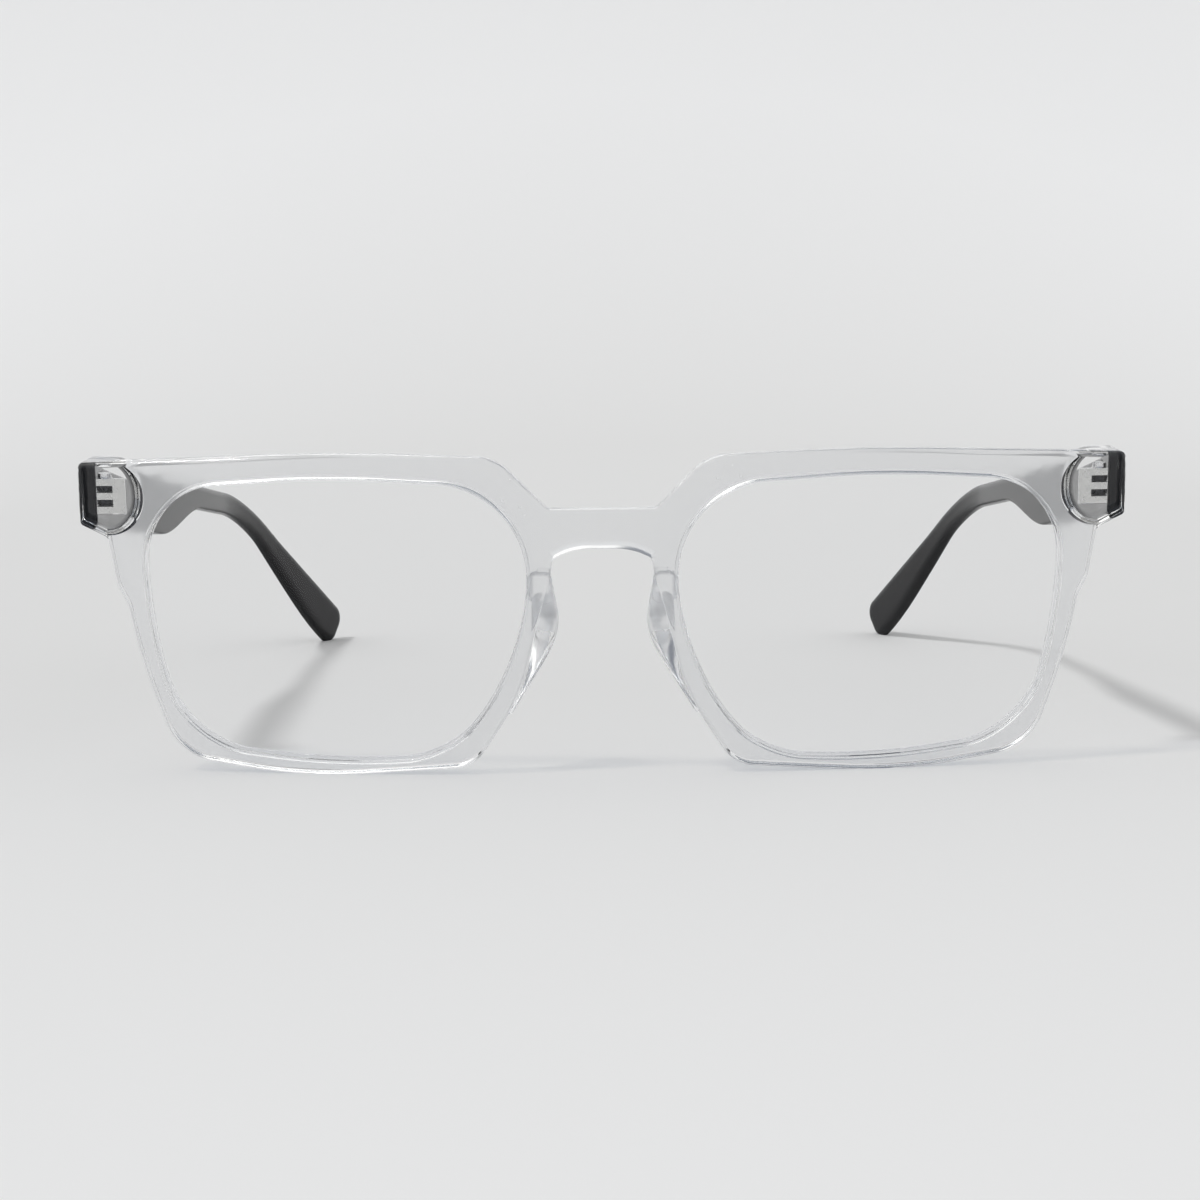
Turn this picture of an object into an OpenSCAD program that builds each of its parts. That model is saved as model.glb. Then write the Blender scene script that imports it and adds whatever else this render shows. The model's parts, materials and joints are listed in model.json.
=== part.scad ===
// Rectangular eyeglasses: a clear moulded front with its lenses, and two black folding temples.
// The front's own frame has X across, Y backwards from the bridge and Z up along the rims.
// Right and left are the wearer's, so the right side lies at -X.

/* [Lenses] */
// Width of a lens opening
lens_w = 51; // [48:1:54]
// Height of a lens opening
lens_h = 38; // [36:1:41]
// Distance between the two lens openings
lens_gap = 20; // [18:1:23]
// Thickness of a lens
lens_t = 1.6; // [1.2:0.1:2]
// Depth that a lens reaches into its groove
lens_seat = 0.5; // [0.3:0.1:0.8]
// Play between a lens and its groove
lens_play = 0.05; // [0.02:0.01:0.1]

/* [Front] */
// Radius that the front is bowed to
bow_r = 320; // [260:10:480]
// Thickness of the front
front_t = 3; // [2.6:0.1:3.6]
// Width of the rim under a lens
rim_low = 1.9; // [1.6:0.1:2.6]
// Width of the rim beside a lens, on the temple's side
rim_side = 2.5; // [2:0.1:3.2]
// Width of the rim beside a lens, on the nose's side
rim_nose = 1.9; // [1.6:0.1:2.4]
// Height of the brow above a lens
brow_h = 3.5; // [3:0.1:4.5]
// Height of the bridge's bar
bridge_h = 5.3; // [4.6:0.1:6]
// Width of the flat on top of the bridge
bridge_flat = 14.2; // [12:0.2:16]
// Depth of the dip from the brow down to the bridge
bridge_dip = 7.5; // [6:0.1:9]
// Width of the arch over the nose
arch_w = 13.3; // [12:0.1:15]
// Radius of the arch's corners
arch_r = 3.6; // [2.4:0.1:4.4]
// Depth of the flat that each rim stands on
foot_flat = 0.2; // [0.1:0.05:0.4]

/* [Nose pads] */
// Height of a nose pad
pad_h = 15; // [12:0.5:17]
// Height of a pad's upper end above the lowest point of the lenses
pad_top = 25.5; // [24:0.5:27]
// Reach of a pad towards the nose, from the rim's edge
pad_reach = 2; // [1.6:0.1:2.6]
// Reach of a pad behind the front
pad_depth = 5.2; // [4:0.2:7]

/* [Endpieces] */
// Reach of an endpiece beyond its lens opening
end_reach = 9; // [8.6:0.1:11]
// Height of an endpiece
end_h = 9.8; // [9.4:0.1:11]
// Depth from the bridge's face to the back of an endpiece
end_depth = 15; // [13.5:0.5:18]
// Radius of the boss behind an endpiece
boss_r = 5.2; // [4.8:0.1:5.5]
// Angle that a boss leans outwards
boss_lean = 12; // [8:1:14]

/* [Hinges] */
// Height of one hinge knuckle
knuckle_h = 0.95; // [0.8:0.05:1.1]
// Radius of a hinge knuckle
knuckle_r = 1.05; // [1:0.05:1.2]
// Radius of the hinge screw's shank
screw_r = 0.55; // [0.45:0.05:0.6]
// Radius of the hinge screw's head
screw_head_r = 0.95; // [0.8:0.05:1]
// Height of the hinge screw's head
screw_head_h = 0.6; // [0.4:0.05:0.8]
// Thickness of a hinge leaf's plate
leaf_t = 0.8; // [0.6:0.05:1]
// Reach of the front leaf's plate beside its knuckles
front_leaf_w = 1.8; // [1.4:0.1:2.2]
// Length of the temple leaf's plate
temple_leaf_l = 8; // [6:0.5:10]
// Play round the screw and between the knuckles
hinge_play = 0.04; // [0.03:0.01:0.06]
// Gap that lets a knuckle turn past what is beside it
turn_gap = 0.12; // [0.1:0.01:0.2]

/* [Temples] */
// Thickness of a temple
temple_t = 2; // [1.9:0.1:2.5]
// Height of a temple at its hinge
temple_h = 8.9; // [8.4:0.1:9.4]
// Height of a temple's arm, and of its start behind the ear bend
arm_h = 3.9; // [3.5:0.1:4.6]
// Width of a temple's tip
tip_w = 7.2; // [6:0.1:8]
// Length of a temple's top edge, up to the ear bend
arm_l = 85.3; // [78:0.5:92]
// Length of the drop behind the ear bend
drop_l = 32; // [30:0.5:38]
// Radius of the ear bend
ear_r = 45; // [35:1:55]
// Angle of the ear bend
ear_bend = 29.5; // [26:0.5:32]
// Angle that a temple slopes down from square to the front
temple_slope = 11.2; // [8:0.2:13]
// Distance from the hinge end to where the lower edge starts to rise
taper_start = 37; // [30:1:42]
// Length over which the lower edge rises to the arm
taper_l = 29; // [24:1:34]
// Inward slope of the arm, in millimetres per millimetre
arm_in = 0.03; // [0.02:0.005:0.05]
// Distance over which the arm's inward slope grows to the drop's
ear_span = 28; // [20:1:32]
// Distance from the ear bend's start to the middle of that span
ear_lag = 11; // [6:1:14]
// Inward slope of the drop, in millimetres per millimetre
drop_in = 0.42; // [0.3:0.01:0.44]
// Radius of the tip's upper corner
tip_r = 3; // [2:0.2:3.4]
// Radius of the tip's lower corner
heel_r = 2.4; // [1.6:0.2:3]

/* [Hidden] */

// Fineness of rounded outlines and of the large bowed surfaces
arc_step = 6;
bow_fn = 720;
round_fn = 48;
// Space beyond the solids that cutting bodies reach
past = 20;

// Box of the lens on the +X side
nose_x = lens_gap / 2;
side_x = nose_x + lens_w;
low_z = rim_low;
high_z = low_z + lens_h;
end_x = side_x + end_reach;
end_top = high_z + brow_h - 1.6;
end_low = end_top - end_h;

// Hinge axis, beside the temple's inner face and behind the endpiece
temple_in_x = end_x - temple_t;
axis_x = temple_in_x - knuckle_r - turn_gap;
axis_y = end_depth + knuckle_r + turn_gap;
axis_z = end_low + end_h / 2 - 0.2;
hinge_h = 5 * knuckle_h;
hinge_low = axis_z - hinge_h / 2;
stop_gap = 0.05;

// Plain helpers on points
function unit(v) = v / norm(v);
function xz(v) = [v[0], v[1]];
function turn(v) = [-v[1], v[0]];
function snap(v) = [round(v[0] * 1000) / 1000, round(v[1] * 1000) / 1000];
function ease(t) = let (c = max(0, min(1, t))) c * c * (3 - 2 * c);
function bow(x) = bow_r - sqrt(bow_r * bow_r - x * x);

// Tangent length that a radius takes at corner i of a path of [x, z, radius]
function corner_half(p, i) =
    let (n = len(p), a = unit(xz(p[(i + n - 1) % n]) - xz(p[i])), b = unit(xz(p[(i + 1) % n]) - xz(p[i])))
    acos(max(-1, min(1, a * b))) / 2;
function tangent(p, i) = p[i][2] / tan(corner_half(p, i));
function side_fit(p, i) =
    let (j = (i + 1) % len(p), t = tangent(p, i) + tangent(p, j))
    min(1, norm(xz(p[j]) - xz(p[i])) / max(t, 0.001));

// One rounded corner, its radius limited by the length of the sides beside it
function corner(p, i) =
    let (
        n = len(p),
        q = xz(p[i]),
        a = unit(xz(p[(i + n - 1) % n]) - q),
        b = unit(xz(p[(i + 1) % n]) - q),
        half = corner_half(p, i),
        r = p[i][2] * min(side_fit(p, i), side_fit(p, (i + n - 1) % n)),
        c = q + unit(a + b) * r / sin(half),
        from = q + a * r / tan(half) - c,
        sweep = 180 - 2 * half,
        way = a[0] * b[1] - a[1] * b[0] > 0 ? -1 : 1,
        steps = max(1, ceil(sweep / arc_step)),
        start = atan2(from[1], from[0])
    )
    [for (k = [0 : steps]) c + r * [cos(start + way * sweep * k / steps), sin(start + way * sweep * k / steps)]];
function rounded(p) = [for (i = [0 : len(p) - 1]) for (v = p[i][2] > 0 ? corner(p, i) : [xz(p[i])]) snap(v)];

// A closed outline moved outwards by d; its points run clockwise
function grown(p, d) =
    [for (i = [0 : len(p) - 1])
        let (n = len(p), along = unit(p[(i + 1) % n] - p[(i + n - 1) % n])) snap(p[i] + d * turn(along))];

// Lens opening on the +X side, clockwise from the crown of its top edge
lens_corners = [
    [nose_x + lens_w * 0.53, high_z + 0.2, 100],
    [side_x, high_z - 1.6, 10.7],
    [side_x, low_z + 18, 53],
    [side_x - 4.6, low_z + 2, 12.5],
    [nose_x + lens_w * 0.52, low_z - 0.3, 80],
    [nose_x + 11.5, low_z + 0.6, 13],
    [nose_x, low_z + 13, 29.5],
    [nose_x, high_z - 1.2, 12.2]
];
lens_outline = rounded(lens_corners);

// Outer edge of the front's +X half, clockwise from the bridge's top to the arch
brow_z = high_z + brow_h;
bridge_z = brow_z - bridge_dip;
arch_z = bridge_z - bridge_h;
rise = bridge_dip - 0.7;
front_corners = [
    [0, bridge_z, 0],
    [bridge_flat / 2, bridge_z, 0.9],
    [bridge_flat / 2 + rise, bridge_z + rise, 6],
    [nose_x + lens_w / 2, brow_z + 0.1, 200],
    [end_x, end_top, 0.9],
    [end_x, end_low + 1.5, 0.7],
    [side_x + rim_side + 2.7, end_low - 0.2, 0.8],
    [side_x + rim_side + 1.6, low_z + 23.4, 3],
    [side_x + rim_side + 0.25, low_z + 20.8, 3],
    [side_x + rim_side - 1.1, low_z + 13.6, 60],
    [side_x - 3.4 + rim_side - 2.4, low_z + 0.2, 7.5],
    [side_x - 21, low_z - rim_low - 0.45, 60],
    [nose_x + 7.3, low_z - 0.6, 5],
    [nose_x + 3 - rim_nose, low_z + 9, 25],
    [nose_x - rim_nose + 0.1, low_z + 20.5, 25],
    [arch_w / 2, low_z + 26, 12],
    [arch_w / 2, arch_z - 0.2, arch_r],
    [0, arch_z, 0]
];
half_outline = rounded(front_corners);
front_outline = concat(half_outline,
    [for (i = [len(half_outline) - 2 : -1 : 1]) [-half_outline[i][0], half_outline[i][1]]]);

// Nose pad: its outline seen from the front, and its section seen from above
pad_high = low_z + pad_top;
pad_low = pad_high - pad_h;
pad_x = nose_x - rim_nose;
pad_front_corners = [
    [pad_x - 1.3, pad_high, 2],
    [pad_x + 1.4, pad_high, 0.6],
    [pad_x + 1.7, low_z + 21, 20],
    [pad_x + 3.2, low_z + 13.6, 12],
    [pad_x + 4.2, pad_low, 0.6],
    [pad_x + 2.4, pad_low + 0.1, 2],
    [pad_x - pad_reach - 0.3, low_z + 19.8, 5]
];
pad_back = front_t + pad_depth;
pad_top_corners = [
    [pad_x - pad_reach - 0.2, front_t + 0.6, 2.2],
    [pad_x - pad_reach + 0.4, pad_back - 1, 1.8],
    [pad_x + 0.9, pad_back + 0.6, 1.8],
    [pad_x + 4.4, pad_back - 2, 3],
    [pad_x + 4.4, front_t - 1.4, 0.4],
    [pad_x + 0.6, front_t - 1.4, 0.4]
];

// Temple: its top edge is the guide, straight, then round the ear bend, then straight down the drop
bend_l = ear_r * ear_bend * PI / 180;
bend_start = [end_depth + arm_l * cos(temple_slope), end_top - 0.55 - arm_l * sin(temple_slope)];
function dip(s) = temple_slope + ear_bend * max(0, min(1, (s - arm_l) / bend_l));
function guide(s) =
    s <= arm_l ? bend_start - (arm_l - s) * [cos(temple_slope), -sin(temple_slope)]
    : let (a = dip(s), over = max(0, s - arm_l - bend_l))
        bend_start + ear_r * [sin(a) - sin(temple_slope), cos(a) - cos(temple_slope)]
        + over * [cos(a), -sin(a)];
total_l = arm_l + bend_l + drop_l;
function tall(s) = arm_h + (temple_h - arm_h) * (1 - ease((s - taper_start) / taper_l))
    + (tip_w - arm_h) * ease((s - arm_l - bend_l * 0.8) / (drop_l - 4 + bend_l * 0.2));
function under(s) = guide(s) - tall(s) * [sin(dip(s)), cos(dip(s))];
side_stops = concat(
    [-2],
    [for (k = [0 : 12]) taper_start + taper_l * k / 12],
    [for (k = [0 : 8]) arm_l + bend_l * k / 8],
    [for (k = [1 : 8]) arm_l + bend_l + (drop_l - 4.2) * k / 8]);
temple_side = rounded(concat(
    [for (s = side_stops) concat(guide(s), 0)],
    [concat(guide(total_l), tip_r), concat(under(total_l), heel_r)],
    [for (k = [len(side_stops) - 1 : -1 : 0]) concat(under(side_stops[k]), 0)]));

// Temple seen from above: its inner face is square at the hinge, then runs in, more so past the ear
seat_end = end_depth + temple_leaf_l + 4;
ear_mid = end_depth + arm_l * cos(temple_slope) + ear_lag;
function inner_x(y) =
    let (t = max(0, min(ear_span, y - ear_mid + ear_span / 2)), past_ear = max(0, y - ear_mid - ear_span / 2))
    temple_in_x - arm_in * max(0, y - seat_end)
    - (drop_in - arm_in) * (t * t / (2 * ear_span) + past_ear);
tip_y = guide(total_l)[0];
top_stops = concat([end_depth - 2, seat_end], [for (k = [0 : 10]) ear_mid - ear_span / 2 + ear_span * k / 10], [tip_y + 4]);
temple_top = concat(
    [for (y = top_stops) [inner_x(y), y]],
    [for (k = [len(top_stops) - 1 : -1 : 0]) [inner_x(top_stops[k]) + temple_t, top_stops[k]]]);

// Lean at which the rims and the tips' lower corners stand on one level
heel_in = heel_r / tan(corner_half(
    [concat(guide(total_l), 0), concat(under(total_l), 0), concat(under(total_l - 4.2), 0)], 1));
heel = under(total_l) + heel_in * unit(under(total_l - 4.2) - under(total_l));
heel_centre = heel - heel_r * turn(unit(under(total_l - 4.2) - under(total_l)));
rim_low_x = side_x - 21;
rim_foot = [bow(rim_low_x), min([for (p = half_outline) p[1]])];
lean = asin(heel_r / norm(heel_centre - rim_foot))
    - atan2(heel_centre[1] - rim_foot[1], heel_centre[0] - rim_foot[0]);

// Place of the standing part: rims and tips on Z = 0, and its box centred on X and Y
foot_z = rim_foot[0] * sin(lean) + rim_foot[1] * cos(lean);
front_y = min([for (p = half_outline) bow(p[0]) * cos(lean) - p[1] * sin(lean)]);
back_y = max([for (p = temple_side) p[0] * cos(lean) - p[1] * sin(lean)]);
mid_y = (front_y + back_y) / 2;

module stand() {
    difference() {
        translate([0, -mid_y, -foot_z - foot_flat])
            rotate([lean, 0, 0])
                children();
        translate([-end_x - past, -back_y, -past])
            cube([2 * (end_x + past), 2 * back_y, past]);
    }
}

// Mirror image for the wearer's right side
module on_side(right) {
    mirror([right ? 1 : 0, 0, 0])
        children();
}

// Outline in X and Z, extruded along Y from y0 to y1
module upright(points, y0, y1) {
    translate([0, y1, 0])
        rotate([90, 0, 0])
            linear_extrude(y1 - y0)
                polygon(points);
}

// Bowed shell that lies from depth d0 to depth d1 behind the front face
module shell(d0, d1) {
    translate([0, bow_r, -past])
        difference() {
            cylinder(h = brow_z + 2 * past, r = bow_r - d0, $fn = bow_fn);
            translate([0, 0, -1])
                cylinder(h = brow_z + 2 * past + 2, r = bow_r - d1, $fn = bow_fn);
        }
}

// Lens body, or with play the room that it needs
module lens_body(play) {
    intersection() {
        upright(grown(lens_outline, lens_seat + play), -1, end_depth);
        shell((front_t - lens_t) / 2 - play, (front_t + lens_t) / 2 + play);
    }
}

module nose_pad() {
    intersection() {
        upright(rounded(pad_front_corners), -1, end_depth);
        translate([0, 0, pad_low - 1])
            linear_extrude(pad_h + 2)
                polygon(rounded(pad_top_corners));
    }
}

// Boss that carries the hinge: a leaning D behind the endpiece
module hinge_boss() {
    boss_x = side_x + boss_r + 0.1;
    intersection() {
        upright(half_outline, -1, end_depth);
        translate([0, bow_r, -past])
            cylinder(h = brow_z + 2 * past, r = bow_r - front_t / 2, $fn = bow_fn);
        translate([boss_x, bow(boss_x) + front_t, end_low + end_h / 2])
            rotate([0, 0, -boss_lean])
                rotate([-90, 0, 0])
                    translate([0, 0, -past])
                        linear_extrude(2 * past)
                            union() {
                                circle(r = boss_r, $fn = round_fn);
                                translate([0, -boss_r])
                                    square([past, 2 * boss_r]);
                            }
    }
}

// Plate of the front hinge leaf, let into the endpiece's back; play opens its pocket
module front_leaf_plate(play) {
    wide = front_leaf_w + 2 * knuckle_r;
    translate([axis_x - knuckle_r - front_leaf_w - play, end_depth - leaf_t - play, hinge_low - play])
        cube([wide + 2 * play, leaf_t + play, hinge_h + 2 * play]);
}

// Plate of the temple hinge leaf, let into the temple's inner face; play opens its pocket
module temple_leaf_plate(play) {
    translate([temple_in_x, axis_y - play, hinge_low - play])
        cube([leaf_t + play, temple_leaf_l + 2 * play, hinge_h + 2 * play]);
}

// Knuckle number k, counted from below, with its bore left for later
module knuckle(k, trim) {
    translate([axis_x, axis_y, hinge_low + k * knuckle_h + trim])
        cylinder(h = knuckle_h - 2 * trim, r = knuckle_r, $fn = round_fn);
}

module screw_bore() {
    translate([axis_x, axis_y, hinge_low - 1])
        cylinder(h = hinge_h + 2, r = screw_r + hinge_play, $fn = round_fn);
}

module front_frame() {
    color("gainsboro", 0.5)
        stand()
            difference() {
                union() {
                    intersection() {
                        upright(front_outline, -1, end_depth);
                        shell(0, front_t);
                    }
                    for (right = [false, true]) on_side(right) {
                        nose_pad();
                        hinge_boss();
                    }
                }
                for (right = [false, true]) on_side(right) {
                    upright(lens_outline, -2, end_depth + past);
                    lens_body(lens_play);
                    front_leaf_plate(stop_gap);
                }
            }
}

module lens(right) {
    color("white", 0.25)
        stand()
            on_side(right)
                lens_body(0);
}

module front_hinge_leaf(right) {
    color("silver")
        stand()
            on_side(right)
                difference() {
                    union() {
                        difference() {
                            front_leaf_plate(0);
                            for (k = [1, 3])
                                translate([axis_x - knuckle_r - turn_gap, end_depth - leaf_t - 1,
                                           hinge_low + k * knuckle_h])
                                    cube([2 * (knuckle_r + turn_gap), leaf_t + 2, knuckle_h]);
                        }
                        for (k = [0, 2, 4]) {
                            knuckle(k, 0);
                            translate([axis_x - knuckle_r, end_depth - leaf_t, hinge_low + k * knuckle_h])
                                cube([2 * knuckle_r, axis_y - end_depth + leaf_t, knuckle_h]);
                        }
                    }
                    screw_bore();
                }
}

module temple_hinge_leaf(right) {
    color("silver")
        stand()
            on_side(right)
                difference() {
                    union() {
                        temple_leaf_plate(0);
                        for (k = [1, 3]) {
                            knuckle(k, hinge_play);
                            translate([axis_x, axis_y, hinge_low + k * knuckle_h + hinge_play])
                                cube([temple_in_x + leaf_t / 2 - axis_x, knuckle_r, knuckle_h - 2 * hinge_play]);
                        }
                    }
                    screw_bore();
                }
}

module hinge_screw(right) {
    slot_w = screw_head_r * 0.35;
    slot_h = screw_head_h * 0.5;
    color("lightgray")
        stand()
            on_side(right)
                translate([axis_x, axis_y, hinge_low])
                    difference() {
                        union() {
                            cylinder(h = hinge_h, r = screw_r, $fn = round_fn);
                            translate([0, 0, hinge_h])
                                cylinder(h = screw_head_h, r = screw_head_r, $fn = round_fn);
                        }
                        translate([-screw_head_r - 1, -slot_w / 2, hinge_h + screw_head_h - slot_h])
                            cube([2 * screw_head_r + 2, slot_w, 1]);
                    }
}

module temple(right) {
    color("#1c1d20")
        stand()
            on_side(right)
                difference() {
                    intersection() {
                        translate([0, 0, -2 * past])
                            linear_extrude(brow_z + 3 * past)
                                polygon(temple_top);
                        rotate([90, 0, 90])
                            linear_extrude(end_x + past)
                                polygon(temple_side);
                    }
                    translate([0, -past, 0])
                        cube([end_x + past, end_depth + stop_gap + past, brow_z + past]);
                    temple_leaf_plate(stop_gap);
                }
}

front_frame();
lens(true);  // right_lens
lens(false);  // left_lens
front_hinge_leaf(true);  // right_front_hinge_leaf
front_hinge_leaf(false);  // left_front_hinge_leaf
hinge_screw(true);  // right_hinge_screw
hinge_screw(false);  // left_hinge_screw
temple(true);  // right_temple
temple(false);  // left_temple
temple_hinge_leaf(true);  // right_temple_hinge_leaf
temple_hinge_leaf(false);  // left_temple_hinge_leaf
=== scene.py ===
import json
import math

import bmesh
import bpy
from mathutils import Matrix, Vector


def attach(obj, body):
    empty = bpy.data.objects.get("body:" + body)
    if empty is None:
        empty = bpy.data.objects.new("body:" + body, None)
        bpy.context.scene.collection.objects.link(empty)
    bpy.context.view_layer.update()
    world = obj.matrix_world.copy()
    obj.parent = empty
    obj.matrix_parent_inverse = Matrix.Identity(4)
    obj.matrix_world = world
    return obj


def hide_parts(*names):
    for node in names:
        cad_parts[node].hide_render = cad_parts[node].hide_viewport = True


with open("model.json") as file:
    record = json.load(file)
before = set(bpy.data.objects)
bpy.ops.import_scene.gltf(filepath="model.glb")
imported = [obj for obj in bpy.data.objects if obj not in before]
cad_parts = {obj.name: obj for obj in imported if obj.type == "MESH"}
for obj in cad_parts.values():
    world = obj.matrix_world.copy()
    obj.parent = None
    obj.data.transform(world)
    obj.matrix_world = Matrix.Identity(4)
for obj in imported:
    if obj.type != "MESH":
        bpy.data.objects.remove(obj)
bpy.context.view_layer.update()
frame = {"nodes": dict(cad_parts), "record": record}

# Where the eyeglasses stand. The front leans forward by a few degrees on its rims, and all sizes
# below are in millimetres in the front's own frame: X across, Y backwards, Z up along the rims.
# The left hinge's packed axis says how far the front leans and where its frame lies.
MM = 0.001
HINGE = Vector((66.83, 16.17, 36.7))
fold = frame["record"]["behaviour"]["joints"][0]
lean = math.atan2(-fold["axis"][1], fold["axis"][2])
upright = Matrix.Rotation(lean, 4, "X")
foot = Vector(fold["pos_m"]) / MM - upright @ HINGE
standing = Matrix.Scale(MM, 4) @ Matrix.Translation(foot) @ upright
to_front = standing.inverted()
facing_back = standing.to_3x3().normalized() @ Vector((0, 1, 0))

# Camera at the photograph's place: about 29 cm in front of the bridge and a little above it,
# looking down by six and a half degrees. Its focal length is counted in the photo's pixels.
FOCAL_PIXELS, PHOTO_PIXELS, SENSOR = 2195, 1200, 36
CAMERA_SPOT = Vector((0.7, -288, 57))
PAN, TILT, ROLL = math.radians(0.21), math.radians(-6.6), math.radians(0.63)
camera_data = bpy.data.cameras.new("camera")
camera_data.sensor_width = SENSOR
camera_data.lens = FOCAL_PIXELS / PHOTO_PIXELS * SENSOR
camera_data.clip_start = 0.01
camera = bpy.data.objects.new("camera", camera_data)
bpy.context.scene.collection.objects.link(camera)
level_forward = Matrix.Rotation(math.radians(90), 4, "X")
turned = (
    Matrix.Rotation(PAN, 4, "Z")
    @ Matrix.Rotation(TILT, 4, "X")
    @ Matrix.Rotation(ROLL, 4, "Y")
    @ level_forward
)
camera.matrix_world = Matrix.Translation((CAMERA_SPOT + foot) * MM) @ turned
bpy.context.scene.camera = camera
bpy.context.scene.view_settings.view_transform = "Standard"

# Table and backdrop: one pale sheet of matt paper, laid flat under the object and curved up
# behind it. Its colour is painted darker near the object, as painted shade around it, and is
# lighter far from it. In true reflections alone its near part is painted dark, a painted dark
# reflection like the photographer's side of the room.
PAPER_SIDE, PAPER_FRONT, PAPER_BEND, BEND_R = 2.2, -1.5, 0.35, 0.6
bm = bmesh.new()
flat = [bm.verts.new((-PAPER_SIDE, y, 0)) for y in (PAPER_FRONT, PAPER_BEND)]
bm.edges.new(flat)
bmesh.ops.spin(
    bm, geom=[flat[1]], cent=(-PAPER_SIDE, PAPER_BEND, BEND_R), axis=(1, 0, 0),
    angle=math.radians(62), steps=20,
)
bmesh.ops.remove_doubles(bm, verts=bm.verts[:], dist=1e-5)
across = bmesh.ops.extrude_edge_only(bm, edges=bm.edges[:])["geom"]
far_side = [item for item in across if isinstance(item, bmesh.types.BMVert)]
bmesh.ops.translate(bm, verts=far_side, vec=(2 * PAPER_SIDE, 0, 0))
bmesh.ops.recalc_face_normals(bm, faces=bm.faces[:])
paper_mesh = bpy.data.meshes.new("paper_sweep")
bm.to_mesh(paper_mesh)
bm.free()
paper_mesh.shade_smooth()
paper = bpy.data.objects.new("paper_sweep", paper_mesh)
bpy.context.scene.collection.objects.link(paper)

# Painted shade: the paper's near tone is darker, standing in for the shade around the object; it
# lightens to the far tone from 0.25 to 0.55 m out.
PAINTED_SHADE_TONE, FAR_TONE = (0.778, 0.78, 0.778, 1), (0.895, 0.9, 0.905, 1)
PAINTED_REFLECTION_TONE = (0.1, 0.105, 0.12, 1)
paper_finish = bpy.data.materials.new("matt_paper")
paper_finish.use_nodes = True
nodes, links = paper_finish.node_tree.nodes, paper_finish.node_tree.links
paper_shader = nodes["Principled BSDF"]
paper_shader.inputs["Roughness"].default_value = 0.85
paper_shader.inputs["Specular IOR Level"].default_value = 0.1
place = nodes.new("ShaderNodeTexCoord")
from_middle = nodes.new("ShaderNodeVectorMath")
from_middle.operation = "DISTANCE"
from_middle.inputs[1].default_value = (0, 0.25, 0.05)
links.new(place.outputs["Object"], from_middle.inputs[0])
far_off = nodes.new("ShaderNodeMapRange")
far_off.inputs["From Min"].default_value = 0.25
far_off.inputs["From Max"].default_value = 0.55
links.new(from_middle.outputs["Value"], far_off.inputs["Value"])
tone = nodes.new("ShaderNodeMix")
tone.data_type = "RGBA"
tone.inputs["A"].default_value = PAINTED_SHADE_TONE
tone.inputs["B"].default_value = FAR_TONE
links.new(far_off.outputs["Result"], tone.inputs["Factor"])

# Painted reflection: in reflected rays, though not in rays passed through clear plastic, the paper
# nearer the camera is coloured dark as a painted dark reflection.
rays = nodes.new("ShaderNodeLightPath")
mirrored_ray = nodes.new("ShaderNodeMath")
mirrored_ray.operation = "SUBTRACT"
mirrored_ray.use_clamp = True
links.new(rays.outputs["Is Glossy Ray"], mirrored_ray.inputs[0])
links.new(rays.outputs["Is Transmission Ray"], mirrored_ray.inputs[1])
spot = nodes.new("ShaderNodeSeparateXYZ")
links.new(place.outputs["Object"], spot.inputs["Vector"])
near_part = nodes.new("ShaderNodeMapRange")
near_part.inputs["From Min"].default_value = 0.12
near_part.inputs["From Max"].default_value = -0.05
links.new(spot.outputs["Y"], near_part.inputs["Value"])
painted_reflection_share = nodes.new("ShaderNodeMath")
painted_reflection_share.operation = "MULTIPLY"
links.new(mirrored_ray.outputs["Value"], painted_reflection_share.inputs[0])
links.new(near_part.outputs["Result"], painted_reflection_share.inputs[1])
shown_tone = nodes.new("ShaderNodeMix")
shown_tone.data_type = "RGBA"
shown_tone.inputs["B"].default_value = PAINTED_REFLECTION_TONE
links.new(painted_reflection_share.outputs["Value"], shown_tone.inputs["Factor"])
links.new(tone.outputs["Result"], shown_tone.inputs["A"])
links.new(shown_tone.outputs["Result"], paper_shader.inputs["Base Color"])

fibres = nodes.new("ShaderNodeTexNoise")
fibres.inputs["Scale"].default_value = 1800
fibres.inputs["Detail"].default_value = 4
links.new(place.outputs["Object"], fibres.inputs["Vector"])
tooth = nodes.new("ShaderNodeBump")
tooth.inputs["Distance"].default_value = 0.00001
links.new(fibres.outputs["Fac"], tooth.inputs["Height"])
links.new(tooth.outputs["Normal"], paper_shader.inputs["Normal"])
paper_mesh.materials.append(paper_finish)

# Studio light: an even white tent all round, and a soft lamp that shines from the wearer's right,
# from the front and from above. Reflections, and what is seen through clear plastic, show a grey
# room instead, with darker and brighter places in it.
ROOM_GREY = (0.74, 0.74, 0.74, 1)
ROOM_PLACES = (
    # direction, cosine where it starts, cosine where it is full, colour
    ((0.35, -0.85, 0.4), 0.15, 0.8, (0.38, 0.41, 0.46, 1)),  # the room behind the camera
    ((0.45, 0.78, 0.44), 0.8, 0.95, (0.08, 0.1, 0.14, 1)),  # a dark corner under the ceiling
    ((-0.3, 0.86, 0.42), 0.9, 0.97, (1.5, 1.5, 1.47, 1)),  # a soft box at the back
    ((-0.47, -0.23, 0.85), 0.9, 0.96, (1.7, 1.7, 1.67, 1)),  # a soft box overhead
)
world = bpy.data.worlds.new("tent")
bpy.context.scene.world = world
world.use_nodes = True
nodes, links = world.node_tree.nodes, world.node_tree.links
nodes.clear()
output = nodes.new("ShaderNodeOutputWorld")
tent = nodes.new("ShaderNodeBackground")
tent.inputs["Color"].default_value = (1.0, 1.0, 1.0, 1)
tent.inputs["Strength"].default_value = 0.64
room = nodes.new("ShaderNodeBackground")
rays = nodes.new("ShaderNodeLightPath")
direction = nodes.new("ShaderNodeTexCoord")
colour_so_far = None
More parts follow.
